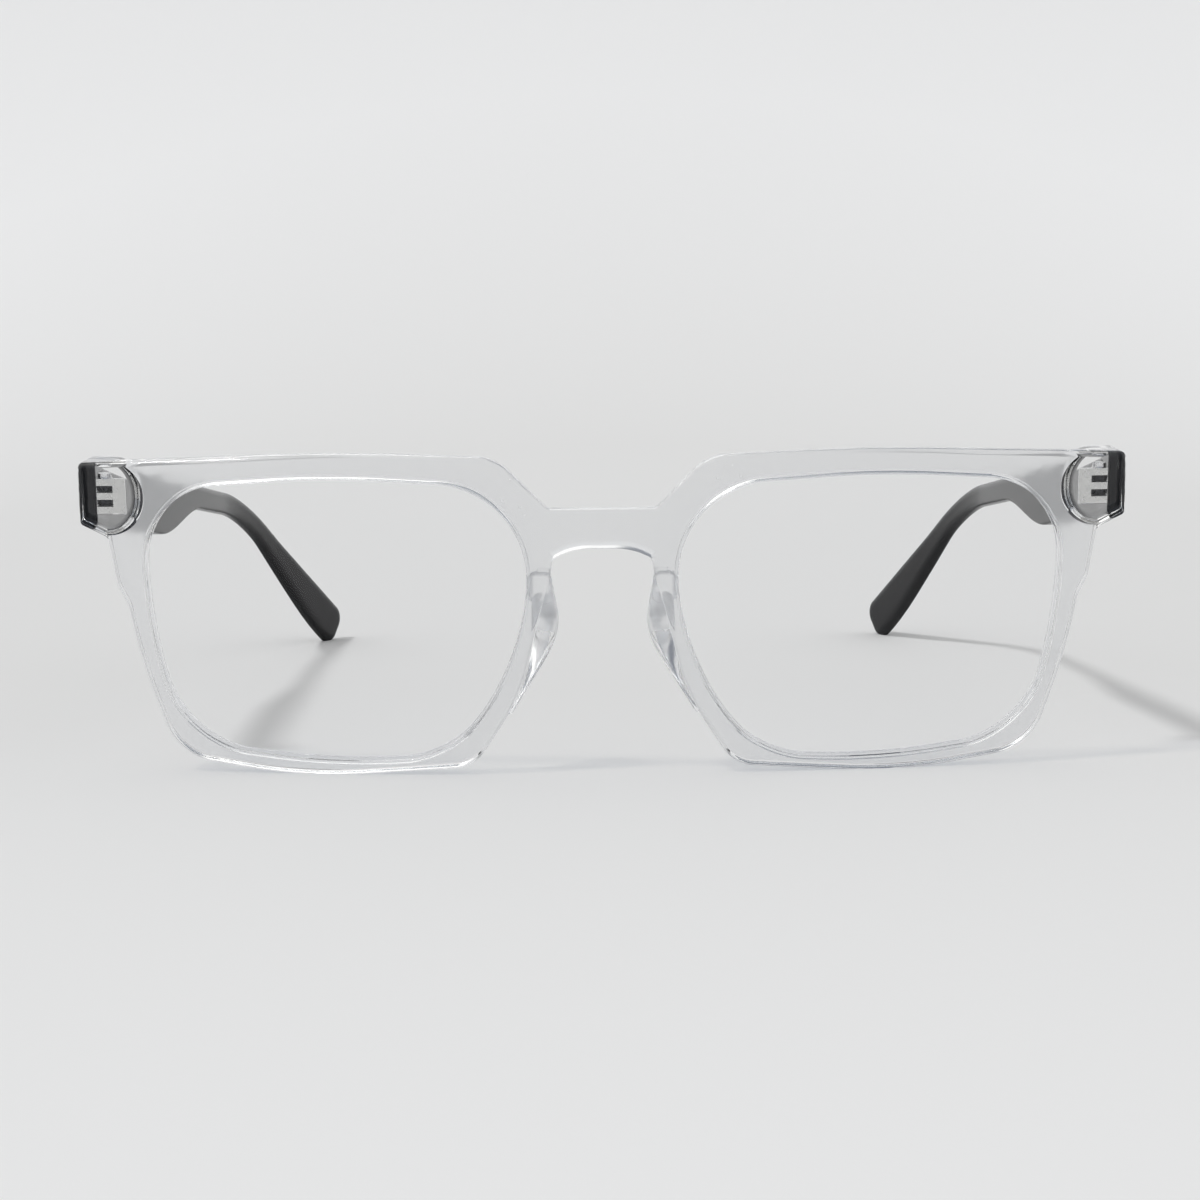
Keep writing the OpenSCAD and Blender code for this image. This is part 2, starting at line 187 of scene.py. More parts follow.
for way, starts, full, shade in ROOM_PLACES:
    towards = nodes.new("ShaderNodeVectorMath")
    towards.operation = "DOT_PRODUCT"
    towards.inputs[1].default_value = Vector(way).normalized()
    links.new(direction.outputs["Generated"], towards.inputs[0])
    patch = nodes.new("ShaderNodeMapRange")
    patch.interpolation_type = "SMOOTHSTEP"
    patch.inputs["From Min"].default_value = starts
    patch.inputs["From Max"].default_value = full
    links.new(towards.outputs["Value"], patch.inputs["Value"])
    room_colour = nodes.new("ShaderNodeMix")
    room_colour.data_type = "RGBA"
    room_colour.inputs["A"].default_value = ROOM_GREY
    room_colour.inputs["B"].default_value = shade
    links.new(patch.outputs["Result"], room_colour.inputs["Factor"])
    if colour_so_far:
        links.new(colour_so_far, room_colour.inputs["A"])
    colour_so_far = room_colour.outputs["Result"]
links.new(colour_so_far, room.inputs["Color"])
room_ray = nodes.new("ShaderNodeMath")
room_ray.operation = "MAXIMUM"
links.new(rays.outputs["Is Glossy Ray"], room_ray.inputs[0])
links.new(rays.outputs["Is Transmission Ray"], room_ray.inputs[1])
either = nodes.new("ShaderNodeMixShader")
links.new(room_ray.outputs["Value"], either.inputs["Fac"])
links.new(tent.outputs["Background"], either.inputs[1])
links.new(room.outputs["Background"], either.inputs[2])
links.new(either.outputs["Shader"], output.inputs["Surface"])

LAMP_SHINES = Vector((145, 80, -290))
lamp_data = bpy.data.lights.new("soft_lamp", "SUN")
lamp_data.angle = math.radians(7)
lamp_data.energy = 0.95
lamp = bpy.data.objects.new("soft_lamp", lamp_data)
bpy.context.scene.collection.objects.link(lamp)
lamp.matrix_world = LAMP_SHINES.to_track_quat("-Z", "Y").to_matrix().to_4x4()

# Clear front: one injection-moulded piece of crystal plastic with both rims, the bridge, the nose
# pads and an endpiece on each side that runs back to the hinge. Its edges are polished round.
LENS_W, LENS_H, LENS_GAP = 51, 38, 20
RIM_LOW, RIM_SIDE, RIM_NOSE, BROW, BROW_FALL = 1.9, 2.5, 1.9, 3.5, 1.6
BRIDGE_H, BRIDGE_FLAT, BRIDGE_DIP = 5.3, 14.2, 7.5
ARCH_W = 13.3
END_REACH, END_H, END_DEPTH = 9, 9.8, 15
FRONT_T, BOW_R = 3, 320
RIM_ROUND, OPENING_ROUND = 0.45, 0.2
BROW_SOFT_FROM, BROW_SOFT_OVER = 30, 24
LENS_T, LENS_SEAT, GROOVE_PLAY = 1.6, 0.5, 0.05
BOSS_R, BOSS_LEAN, LEAN_FROM, BOSS_ROUND_FROM = 5.2, math.radians(12), 8.9, 12.3
LEAF_T, LEAF_W, KNUCKLE_R, HINGE_H = 0.8, 1.8, 1.05, 4.75
POCKET_PLAY = 0.05
STRIP, STRIPS_TO = 1.5, 69

nose_x = LENS_GAP / 2
side_x = nose_x + LENS_W
low_z = RIM_LOW
high_z = low_z + LENS_H
end_x = side_x + END_REACH
end_top = high_z + BROW - BROW_FALL
end_low = end_top - END_H
brow_z = high_z + BROW
bridge_z = brow_z - BRIDGE_DIP
arch_z = bridge_z - BRIDGE_H
rise = BRIDGE_DIP - 0.7


def rounded(corners):
    """Points of a flat outline, from corners of (x, z, radius) that a vertex bevel rounds."""
    bm = bmesh.new()
    spots = [Vector((x, 0, z)) for x, z, r in corners]
    count = len(spots)
    following = spots[1:] + spots[:1]
    verts = [bm.verts.new(p) for p in spots]
    bm.faces.new(verts)
    halves = [(spots[i - 1] - spots[i]).angle(following[i] - spots[i]) / 2 for i in range(count)]
    reach = [corners[i][2] / math.tan(halves[i]) for i in range(count)]
    sides = [(following[i] - spots[i]).length for i in range(count)]
    fit = [min(1, sides[i] / max(reach[i] + reach[(i + 1) % count], 1e-6)) for i in range(count)]
    for i in range(count):
        if reach[i] > 1e-6:
            just_short = reach[i] * min(fit[i], fit[i - 1]) * 0.999
            turn = math.degrees(math.pi - 2 * halves[i])
            bmesh.ops.bevel(
                bm, geom=[verts[i]], offset=just_short, offset_type="OFFSET",
                segments=max(2, math.ceil(turn / 3)), profile=0.5, affect="VERTICES",
                clamp_overlap=False, material=-1,
            )
    bmesh.ops.remove_doubles(bm, verts=bm.verts[:], dist=0.03)
    bm.faces.ensure_lookup_table()
    points = [loop.vert.co.copy() for loop in bm.faces[0].loops]
    bm.free()
    return points


def mirrored(points):
    """An outline's mirror image on the other side of the bridge."""
    return [Vector((-p.x, p.y, p.z)) for p in reversed(points)]


def outwards(points):
    """The outward direction at each point of a flat outline that runs clockwise."""
    count = len(points)
    along = [(points[(i + 1) % count] - points[i - 1]).normalized() for i in range(count)]
    return [Vector((-a.z, 0, a.x)) for a in along]


def straight_back(p, out, step):
    """Where a point of an outline lies at a step of (growth, depth)."""
    return p + out * step[0] + Vector((0, step[1], 0))


def swept(bm, points, steps, place=straight_back):
    """Walls of an outline carried through steps; returns the edges of its two ends."""
    grow = outwards(points)
    count = len(points)
    ring = [bm.verts.new(place(p, out, steps[0])) for p, out in zip(points, grow)]
    edges = [bm.edges.new((ring[i], ring[(i + 1) % count])) for i in range(count)]
    first = edges
    for step in steps[1:]:
        fresh = bmesh.ops.extrude_edge_only(bm, edges=edges)["geom"]
        made = {item for item in fresh if isinstance(item, bmesh.types.BMVert)}
        ring = [
            next(e.other_vert(v) for e in v.link_edges if e.other_vert(v) in made) for v in ring
        ]
        for v, p, out in zip(ring, points, grow):
            v.co = place(p, out, step)
        edges = [bm.edges.get((ring[i], ring[(i + 1) % count])) for i in range(count)]
    return first, edges


def close_ends(bm, ends):
    """Fills the open ends of a swept shape."""
    for edges in ends:
        bmesh.ops.triangle_fill(bm, use_beauty=True, edges=edges)


def round_edge(radius, depth, back=False, parts=4):
    """Steps of (growth, depth) round an outer edge, from the flat face to the wall, or back."""
    turns = [k / parts * math.pi / 2 for k in range(parts + 1)]
    steps = [(-radius * (1 - math.sin(a)), radius * (1 - math.cos(a))) for a in turns]
    steps = [(-radius - 0.06, 0)] + steps
    if back:
        return [(growth, depth - d) for growth, d in reversed(steps)]
    return [(growth, depth + d) for growth, d in steps]


def cut_strips(bm, start, end, width):
    """Cuts a flat shape across into strips, so that it can be bent smoothly."""
    way = Vector((1, 0, 0))
    for k in range(int((end - start) / width) + 1):
        everything = bm.verts[:] + bm.edges[:] + bm.faces[:]
        line = way * (start + k * width)
        bmesh.ops.bisect_plane(bm, geom=everything, dist=1e-5, plane_co=line, plane_no=way)


def bowed(bm):
    """Bends a flat front, whose depth is along Y, to the front's bow."""
    cut_strips(bm, -STRIPS_TO, STRIPS_TO, STRIP)
    for v in bm.verts:
        v.co.y = BOW_R - math.sqrt((BOW_R - v.co.y) ** 2 - v.co.x**2)


def block(size, centre):
    """A square block, as a tool that cuts a pocket."""
    bm = bmesh.new()
    bmesh.ops.create_cube(bm, size=1)
    bmesh.ops.scale(bm, verts=bm.verts[:], vec=size)
    bmesh.ops.translate(bm, verts=bm.verts[:], vec=centre)
    return bm


def new_piece(name, bm, body):
    """Sets a mesh from the front's frame on the table, to ride on a body if one is named."""
    bmesh.ops.recalc_face_normals(bm, faces=bm.faces[:])
    # That can leave a long bent shape inside out.
    if bm.calc_volume(signed=True) < 0:
        bmesh.ops.reverse_faces(bm, faces=bm.faces[:])
    bm.transform(standing)
    mesh = bpy.data.meshes.new(name)
    bm.to_mesh(mesh)
    bm.free()
    piece = bpy.data.objects.new(name, mesh)
    bpy.context.scene.collection.objects.link(piece)
    if body:
        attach(piece, body)
    return piece


def table_block():
    """The table itself as a cutting tool, which leaves small flats where the object stands."""
    bm = block((200, 400, 20), (0, 0, -10))
    bmesh.ops.rotate(bm, verts=bm.verts[:], matrix=Matrix.Rotation(-lean, 3, "X"))
    bmesh.ops.translate(bm, verts=bm.verts[:], vec=upright.inverted() @ -foot)
    return new_piece("table_cut", bm, None)


def worked(piece, operation, tools):
    """Joins tool shapes to a piece or cuts them from it, and removes them."""
    for tool in tools:
        step = piece.modifiers.new(operation.lower(), "BOOLEAN")
        step.operation = operation
        step.solver = "MANIFOLD"
        step.object = tool
    depsgraph = bpy.context.evaluated_depsgraph_get()
    result = bpy.data.meshes.new_from_object(piece.evaluated_get(depsgraph))
    piece.modifiers.clear()
    piece.data = result
    for tool in tools:
        bpy.data.objects.remove(tool)


def soften(piece, angle):
    """Smooth shading, with the edges sharper than the angle kept."""
    piece.data.shade_smooth()
    piece.data.set_sharp_from_angle(angle=math.radians(angle))


lens_opening = rounded([
    (nose_x + LENS_W * 0.53, high_z + 0.2, 100),
    (side_x, high_z - 1.6, 10.7),
    (side_x, low_z + 18, 53),
    (side_x - 4.6, low_z + 2, 12.5),
    (nose_x + LENS_W * 0.52, low_z - 0.3, 80),
    (nose_x + 11.5, low_z + 0.6, 13),
    (nose_x, low_z + 13, 29.5),
    (nose_x, high_z - 1.2, 12.2),
])
half_front = [
    (0, bridge_z, 0),
    (BRIDGE_FLAT / 2, bridge_z, 0.9),
    (BRIDGE_FLAT / 2 + rise, bridge_z + rise, 6),
    (nose_x + LENS_W / 2, brow_z + 0.01, 200),
    (end_x, end_top, 0.9),
    (end_x, end_low + 1.5, 0.7),
    (side_x + RIM_SIDE + 2.7, end_low - 0.2, 0.8),
    (side_x + RIM_SIDE + 1.6, low_z + 23.4, 3),
    (side_x + RIM_SIDE + 0.25, low_z + 20.8, 3),
    (side_x + RIM_SIDE - 1.1, low_z + 13.6, 60),
    (side_x - 3.4 + RIM_SIDE - 2.4, low_z + 0.2, 7.5),
    (side_x - 21, low_z - RIM_LOW - 0.45, 60),
    (nose_x + 7.3, low_z - 0.6, 5),
    (nose_x + 3 - RIM_NOSE, low_z + 9, 25),
    (nose_x - RIM_NOSE + 0.1, low_z + 20.5, 25),
    (ARCH_W / 2, low_z + 26, 12),
    (ARCH_W / 2 - 0.1, arch_z - 1.3, 1.1),
    (ARCH_W / 2 - 3, arch_z + 0.05, 8),
    (0, arch_z, 0),
]
front_outline = rounded(half_front + [(-x, z, r) for x, z, r in half_front[-2:0:-1]])


def share(value, start, span):
    """How far a value has gone through a span, from 0 to 1."""
    return max(0, min(1, (value - start) / span))


def front_edge(p, out, step):
    """The edge is polished rounder towards the ends of the brow, and roundest along the arch."""
    growth, depth = step
    wide = 1
    if depth < FRONT_T / 2 and p.z > high_z:
        wide += 0.6 * share(abs(p.x), BROW_SOFT_FROM, BROW_SOFT_OVER)
    if abs(p.x) < ARCH_W / 2 - 0.3 and p.z < arch_z + 1:
        wide += 1.2 * share(p.z, arch_z - 5, 4)
    if depth > FRONT_T / 2:
        return p + out * growth * wide + Vector((0, FRONT_T - (FRONT_T - depth) * wide, 0))
    return p + out * growth * wide + Vector((0, depth * wide, 0))


rim_walls = round_edge(RIM_ROUND, 0) + round_edge(RIM_ROUND, FRONT_T, back=True)
groove_low = (FRONT_T - LENS_T) / 2 - GROOVE_PLAY
groove_high = (FRONT_T + LENS_T) / 2 + GROOVE_PLAY
groove = LENS_SEAT + GROOVE_PLAY
opening_walls = (
    [(-g, d) for g, d in round_edge(OPENING_ROUND, 0, parts=3)]
    + [(0, groove_low), (groove, groove_low), (groove, groove_high), (0, groove_high)]
    + [(-g, d) for g, d in round_edge(OPENING_ROUND, FRONT_T, back=True, parts=3)]
)
bm = bmesh.new()
front_ends = [list(edges) for edges in swept(bm, front_outline, rim_walls, front_edge)]
for opening in (lens_opening, mirrored(lens_opening)):
    for face_edges, edges in zip(front_ends, swept(bm, opening, opening_walls)):
        face_edges += edges
close_ends(bm, front_ends)
bowed(bm)
clear_front = new_piece("moulded_front", bm, None)


def boss_place(side, lead):
    """A boss's walls: the inner side leans outwards, and is rounder at the back than the outer."""
    def place(p, out, step):
        growth, depth = step
        rounding = depth > BOSS_ROUND_FROM
        slant = math.tan(BOSS_LEAN) * (depth - LEAN_FROM) * share(-p.x, -end_x, end_x - lead)
        inset = 0 if depth > 12 else 0.02
        wide = 1 - 0.65 * share(p.x, side_x + 4.5, 2) if rounding else 1
        spot = p + out * (growth * wide - inset) + Vector((slant, 0, 0))
        root = BOW_R - math.sqrt((BOW_R - FRONT_T / 2) ** 2 - spot.x**2)
        back = END_DEPTH - (END_DEPTH - depth) * wide if rounding else depth
        return Vector((side * spot.x, max(back, root), spot.z))
    return place


def between(z, stations):
    """A measure at a height, on a smooth curve through a shape's stations (height, measure)."""
    last = len(stations) - 1
    k = next((i for i in range(1, last) if z >= stations[i][0]), last)
    (high, upper), (low, lower) = stations[k - 1], stations[k]
    before = stations[k - 2] if k > 1 else (2 * high - low, 2 * upper - lower)
    after = stations[k + 1] if k < last else (2 * low - high, 2 * lower - upper)
    span = low - high
    leave = span * (lower - before[1]) / (low - before[0])
    reach = span * (after[1] - upper) / (after[0] - high)
    t = (z - high) / span
    eased = upper + (lower - upper) * t * t * (3 - 2 * t)
    return eased + leave * t * (1 - t) ** 2 + reach * (-t * t * (1 - t))


# The wing's edges towards the nose and the rim, and its depth behind and before its middle, each
# as stations of (height, measure).
WING_NOSE = [
    (28, 7), (25, 6.5), (23, 6.15), (20.6, 5.88), (18, 6.45), (15, 8), (12, 9.9), (8, 12.3),
]
WING_RIM = [(28, 8.6), (24, 9.3), (18, 9.5), (15, 9.95), (12, 10.8), (10, 11.8), (8, 13)]
WING_BACK = [
    (28, 0.3), (25, 0.9), (22.6, 2.6), (20, 4.6), (17, 4.9), (14, 3.7), (11, 1.5), (8, 0.2),
]
WING_FRONT = [(28, 0.8), (24, 1.5), (19, 1.9), (13, 1.5), (8, 0.7)]
WING_MIDDLE, WING_SQUARE, WING_LEAN = 3.3, 0.85, 0.16
WING_TOP, WING_STEP = 27.9, 0.33


def wing_point(p, z):
    """A point of the nose pad's wing at a height, from a point of the unit circle."""
    nose, rim = between(z, WING_NOSE), between(z, WING_RIM)
    back, front = between(z, WING_BACK), between(z, WING_FRONT)
    sideways, through = [math.copysign(abs(v) ** WING_SQUARE, v) for v in (p.x, p.z)]
    deep = through * (back if through > 0 else front)
    x = (nose + rim) / 2 + sideways * (rim - nose) / 2
    return Vector((x + WING_LEAN * max(0, deep), WING_MIDDLE + deep, z))


extras = []
for side in (1, -1):
    # Hinge boss: a D behind each end of the brow, as deep as the endpiece.
    lead = side_x + 0.1
    boss_outline = rounded([
        (lead, end_top + 0.25, BOSS_R - 0.3),
        (end_x, end_top, 0.9),
        (end_x, end_low + 1.5, 0.7),
        (side_x + RIM_SIDE + 2.7, end_low - 0.2, 0.8),
        (lead, end_low - 0.1, BOSS_R - 0.3),
    ])
    boss_walls = [(-0.4, 6.5), (-0.02, 6.5), (0, 9.5), (0, 12.2)]
    boss_walls += round_edge(0.8, END_DEPTH, back=True, parts=6)
    bm = bmesh.new()
    close_ends(bm, swept(bm, boss_outline, boss_walls, boss_place(side, lead)))
    extras.append(new_piece("boss", bm, None))

    # Nose pad: a tapered root block behind the rim, and a soft wing that fades into the rim below.
    def root_place(p, out, step):
        growth, depth = step
        return Vector((side * (p.x + out.x * growth), depth, p.z + out.z * growth))

    def wing_place(p, out, step):
        spot = wing_point(p, step[1])
        return Vector((side * spot.x, spot.y, spot.z))

    pad_root = rounded([(6.75, 27.5, 1.1), (9.85, 27.5, 1.1), (9.85, 23.2, 1.1), (6.4, 23.2, 1.1)])
    root_walls = [(-0.2, 1.5), (0, 1.5), (0, 3.2), (-0.15, 3.7)]
    root_walls += [(-0.45, 4.15), (-0.75, 4.4), (-0.95, 4.45)]
    bm = bmesh.new()
    close_ends(bm, swept(bm, pad_root, root_walls, root_place))
    extras.append(new_piece("pad_root", bm, None))

    turns = [-2 * math.pi * k / 48 for k in range(48)]
    circle = [Vector((math.cos(a), 0, math.sin(a))) for a in turns]
    wing_heights = [(0, WING_TOP - WING_STEP * k) for k in range(61)]
    bm = bmesh.new()
    close_ends(bm, swept(bm, circle, wing_heights, wing_place))
    extras.append(new_piece("pad_wing", bm, None))
worked(clear_front, "UNION", extras)

pockets = []
for side in (1, -1):
    wide = LEAF_W + 2 * KNUCKLE_R
    pocket_size = (
        wide + 2 * POCKET_PLAY, 2 * (LEAF_T + POCKET_PLAY), HINGE_H + 2 * POCKET_PLAY,
    )
    pocket_spot = (side * (HINGE.x + KNUCKLE_R - wide / 2), END_DEPTH, HINGE.z)
    pockets.append(new_piece("pocket", block(pocket_size, pocket_spot), None))
pockets.append(table_block())
worked(clear_front, "DIFFERENCE", pockets)
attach(clear_front, "front")
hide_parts("front_frame")
soften(clear_front, 32)


def handling_marks():
    """A mask of soft unevenness and sparse hairlines, as polished and moulded surfaces have."""
    group = bpy.data.node_groups.new("handling_marks", "ShaderNodeTree")
    for name, way in (("Size", "INPUT"), ("Unevenness", "OUTPUT"), ("Hairlines", "OUTPUT")):
        group.interface.new_socket(name, in_out=way, socket_type="NodeSocketFloat")
    nodes, links = group.nodes, group.links
    given, made = nodes.new("NodeGroupInput"), nodes.new("NodeGroupOutput")
    place = nodes.new("ShaderNodeTexCoord")
    cloud = nodes.new("ShaderNodeTexNoise")
    cloud.inputs["Detail"].default_value = 3
    links.new(place.outputs["Object"], cloud.inputs["Vector"])
    links.new(given.outputs["Size"], cloud.inputs["Scale"])
    links.new(cloud.outputs["Fac"], made.inputs["Unevenness"])
    stretch = nodes.new("ShaderNodeMapping")
    stretch.inputs["Rotation"].default_value = (0.3, 0.6, 0.4)
    stretch.inputs["Scale"].default_value = (3000, 260, 900)
    links.new(place.outputs["Object"], stretch.inputs["Vector"])
    line = nodes.new("ShaderNodeTexNoise")
    line.inputs["Scale"].default_value = 1
    line.inputs["Detail"].default_value = 2
    links.new(stretch.outputs["Vector"], line.inputs["Vector"])
    thin = nodes.new("ShaderNodeMapRange")
    thin.inputs["From Min"].default_value = 0.66
    thin.inputs["From Max"].default_value = 0.74
    links.new(line.outputs["Fac"], thin.inputs["Value"])
    links.new(thin.outputs["Result"], made.inputs["Hairlines"])
    return group


marks = handling_marks()


def marked(name, colour, size, smooth, rough, bump, scratch):
    """A new finish whose roughness and slight relief come from the handling marks."""
    material = bpy.data.materials.new(name)
    material.use_nodes = True
    nodes, links = material.node_tree.nodes, material.node_tree.links
    shader = nodes["Principled BSDF"]
    shader.inputs["Base Color"].default_value = colour
    worn = nodes.new("ShaderNodeGroup")
    worn.node_tree = marks
    worn.inputs["Size"].default_value = size
    spread = nodes.new("ShaderNodeMapRange")
    spread.inputs["From Min"].default_value = 0.3
    spread.inputs["From Max"].default_value = 0.7
    spread.inputs["To Min"].default_value = smooth
    spread.inputs["To Max"].default_value = rough
    links.new(worn.outputs["Unevenness"], spread.inputs["Value"])
    lines = nodes.new("ShaderNodeMath")
    lines.operation = "MULTIPLY_ADD"
    lines.inputs[1].default_value = scratch
    links.new(worn.outputs["Hairlines"], lines.inputs[0])
    links.new(spread.outputs["Result"], lines.inputs[2])
    links.new(lines.outputs["Value"], shader.inputs["Roughness"])
    relief = nodes.new("ShaderNodeBump")
    relief.inputs["Strength"].default_value = 1
    relief.inputs["Distance"].default_value = bump
    links.new(worn.outputs["Unevenness"], relief.inputs["Height"])
    links.new(relief.outputs["Normal"], shader.inputs["Normal"])
    return material, shader


def clear_plastic(name, colour, smooth, rough, shade, level, clear=1):
    """Clear plastic. Light for the paper goes straight through it, dimmed to the shade."""
    material, shader = marked(name, colour, 90, smooth, rough, 0.000002, 0.05)
    shader.inputs["Transmission Weight"].default_value = clear
    shader.inputs["IOR"].default_value = 1.49
    shader.inputs["Specular IOR Level"].default_value = level
    nodes, links = material.node_tree.nodes, material.node_tree.links
    rays = nodes.new("ShaderNodeLightPath")
    through = nodes.new("ShaderNodeBsdfTransparent")
    through.inputs["Color"].default_value = shade
    either = nodes.new("ShaderNodeMixShader")
    paper_light = nodes.new("ShaderNodeMath")
    paper_light.operation = "MAXIMUM"
    links.new(rays.outputs["Is Shadow Ray"], paper_light.inputs[0])
    links.new(rays.outputs["Is Diffuse Ray"], paper_light.inputs[1])
    links.new(paper_light.outputs["Value"], either.inputs["Fac"])
    links.new(shader.outputs["BSDF"], either.inputs[1])
    links.new(through.outputs["BSDF"], either.inputs[2])
    links.new(either.outputs["Shader"], nodes["Material Output"].inputs["Surface"])
    return material


# The front's finishes: polished crystal outside, and slightly matt and wavy as it left the mould
# on its back, which is waviest at the endpieces and clearest on the lower half of the pads.
PLASTIC_SHADE, PLASTIC_GLOSS = (0.86, 0.87, 0.89, 1), 0.12
crystal = clear_plastic(
    "crystal_plastic", (0.985, 0.986, 0.986, 1), 0.012, 0.03, PLASTIC_SHADE, PLASTIC_GLOSS,
)
clear_front.data.materials.clear()
clear_front.data.materials.append(crystal)
for name, wavy, blur, clear in (
    ("moulded_back", 0.000004, 0.14, 0.62),
    ("moulded_end_back", 0.00006, 0.14, 0.62),
    ("moulded_pad", 0.000004, 0.15, 0.88),
):
    moulded = clear_plastic(
        name, (0.99, 0.99, 0.99, 1), blur, blur + 0.1, PLASTIC_SHADE, PLASTIC_GLOSS, clear,
    )
    nodes, links = moulded.node_tree.nodes, moulded.node_tree.links
    place = nodes.new("ShaderNodeTexCoord")
    waves = nodes.new("ShaderNodeTexNoise")
    waves.inputs["Scale"].default_value = 330
    waves.inputs["Detail"].default_value = 1
    links.new(place.outputs["Object"], waves.inputs["Vector"])
    ripple = nodes.new("ShaderNodeBump")
    ripple.inputs["Distance"].default_value = wavy
    links.new(waves.outputs["Fac"], ripple.inputs["Height"])
    links.new(ripple.outputs["Normal"], nodes["Principled BSDF"].inputs["Normal"])
    clear_front.data.materials.append(moulded)

BACK, END_BACK, PAD = 1, 2, 3
END_BACK_FROM = 51
PADS_WITHIN, PADS_FROM, PADS_TO, PADS_BEHIND, PADS_CLEAR_BELOW = 13, 6, 28.5, 2.9, 18.5
for face in clear_front.data.polygons:
    centre = to_front @ face.center
    bow = BOW_R - math.sqrt(BOW_R**2 - centre.x**2)
    near_pad = abs(centre.x) < PADS_WITHIN and PADS_FROM < centre.z < PADS_TO
    if face.normal.dot(facing_back) > 0.95 and abs(centre.y - bow - FRONT_T) < 0.3:
        face.material_index = END_BACK if abs(centre.x) > END_BACK_FROM else BACK
    elif near_pad and centre.y > PADS_BEHIND:
        face.material_index = PAD if centre.z < PADS_CLEAR_BELOW else BACK

# Lenses: clear demonstration lenses of hard-coated acrylic, bowed like the front and snapped into
# its groove. Their coating keeps reflections low.
lens_coated = clear_plastic(
    "coated_lens", (0.995, 0.997, 1, 1), 0.0, 0.01, (0.985, 0.988, 0.99, 1), 0.2,
)
lens_coated.node_tree.nodes["Principled BSDF"].inputs["IOR"].default_value = 1.14
lens_front = (FRONT_T - LENS_T) / 2
lens_walls = round_edge(0.12, lens_front, parts=2)
lens_walls += round_edge(0.12, lens_front + LENS_T, back=True, parts=2)
seated_walls = [(g + LENS_SEAT, d) for g, d in lens_walls]
for side, name in ((1, "left"), (-1, "right")):
    outline = lens_opening if side > 0 else mirrored(lens_opening)
    bm = bmesh.new()
    close_ends(bm, swept(bm, outline, seated_walls))
    bowed(bm)
    lens = new_piece(name + "_lens_blank", bm, "front")
    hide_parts(name + "_lens")
    lens.data.materials.append(lens_coated)
    soften(lens, 40)

# Hinges: stamped nickel-silver leaves with three knuckles in the front and two in the temple, whose
# leaf is coloured nearly black as painted shade in the slots between the front's knuckles. They are
# let into the plastic and held together by a slotted steel screw from above.
metals = {}
for kind, colour, size, smooth, rough, bump in (
    ("nickel_silver", (0.68, 0.675, 0.66, 1), 900, 0.2, 0.32, 0.000004),
    # Painted shade: the temple's leaf metal is coloured nearly black to stand in for the shade in
    # the hinge slots.
    ("painted_shade_leaf_metal", (0.022, 0.022, 0.026, 1), 900, 0.24, 0.36, 0.000004),
    ("screw_steel", (0.76, 0.76, 0.77, 1), 1500, 0.12, 0.22, 0.000005),
):
    metals[kind], shader = marked(kind, colour, size, smooth, rough, bump, 0.1)
    shader.inputs["Metallic"].default_value = 1
for name, part in frame["nodes"].items():
    if "hinge" in name:
        kind = "nickel_silver"
        if "screw" in name:
            kind = "screw_steel"
        elif "temple" in name:
            kind = "painted_shade_leaf_metal"
        for holder in part.material_slots:
            holder.material = metals[kind]

# Temples: black injection-moulded plastic with a fine satin skin and softly rounded edges, cut off
# matt at the hinge. Each is tall there, slims to a light arm, bends over the ear and widens to a
# tip. Its side view is drawn flat first, with its length along X, and is then bent inwards.
TEMPLE_T, TEMPLE_H, ARM_H, TIP_W = 2, 8.9, 3.9, 7.2
ARM_L, DROP_L, EAR_R, EAR_BEND, SLOPE = 85.3, 32, 45, math.radians(29.5), math.radians(11.2)
TAPER_START, TAPER_L = 37, 29
ARM_IN, DROP_IN, EAR_SPAN, EAR_LAG = 0.03, 0.42, 28, 11
TIP_R, HEEL_R, LEAF_L = 3, 2.4, 8
BELOW_END, EDGE_ROUND = 0.55, 0.4
SOFT_FROM, SOFT_OVER = 45, 55
bend_l = EAR_R * EAR_BEND
total_l = ARM_L + bend_l + DROP_L
arm_end_y = END_DEPTH + ARM_L * math.cos(SLOPE)
arm_end = Vector((arm_end_y, 0, end_top - BELOW_END - ARM_L * math.sin(SLOPE)))


def ease(t):
    """A smooth step from 0 to 1."""
    t = max(0, min(1, t))
    return t * t * (3 - 2 * t)


def dip(s):
    """The angle at which the temple slopes down, s millimetres behind its hinge end."""
    return SLOPE + EAR_BEND * share(s, ARM_L, bend_l)


def guide(s):
    """The temple's top edge, s millimetres behind its hinge end."""
    a = dip(s)
    if s <= ARM_L:
        return arm_end - (ARM_L - s) * Vector((math.cos(SLOPE), 0, -math.sin(SLOPE)))
    round_bend = EAR_R * Vector((math.sin(a) - math.sin(SLOPE), 0, math.cos(a) - math.cos(SLOPE)))
    past_bend = max(0, s - ARM_L - bend_l)
    return arm_end + round_bend + past_bend * Vector((math.cos(a), 0, -math.sin(a)))


def under(s):
    """The temple's lower edge, square below its top edge."""
    tall = ARM_H + (TEMPLE_H - ARM_H) * (1 - ease((s - TAPER_START) / TAPER_L))
    tall += (TIP_W - ARM_H) * ease((s - ARM_L - bend_l * 0.8) / (DROP_L - 4 + bend_l * 0.2))
    return guide(s) - tall * Vector((math.sin(dip(s)), 0, math.cos(dip(s))))


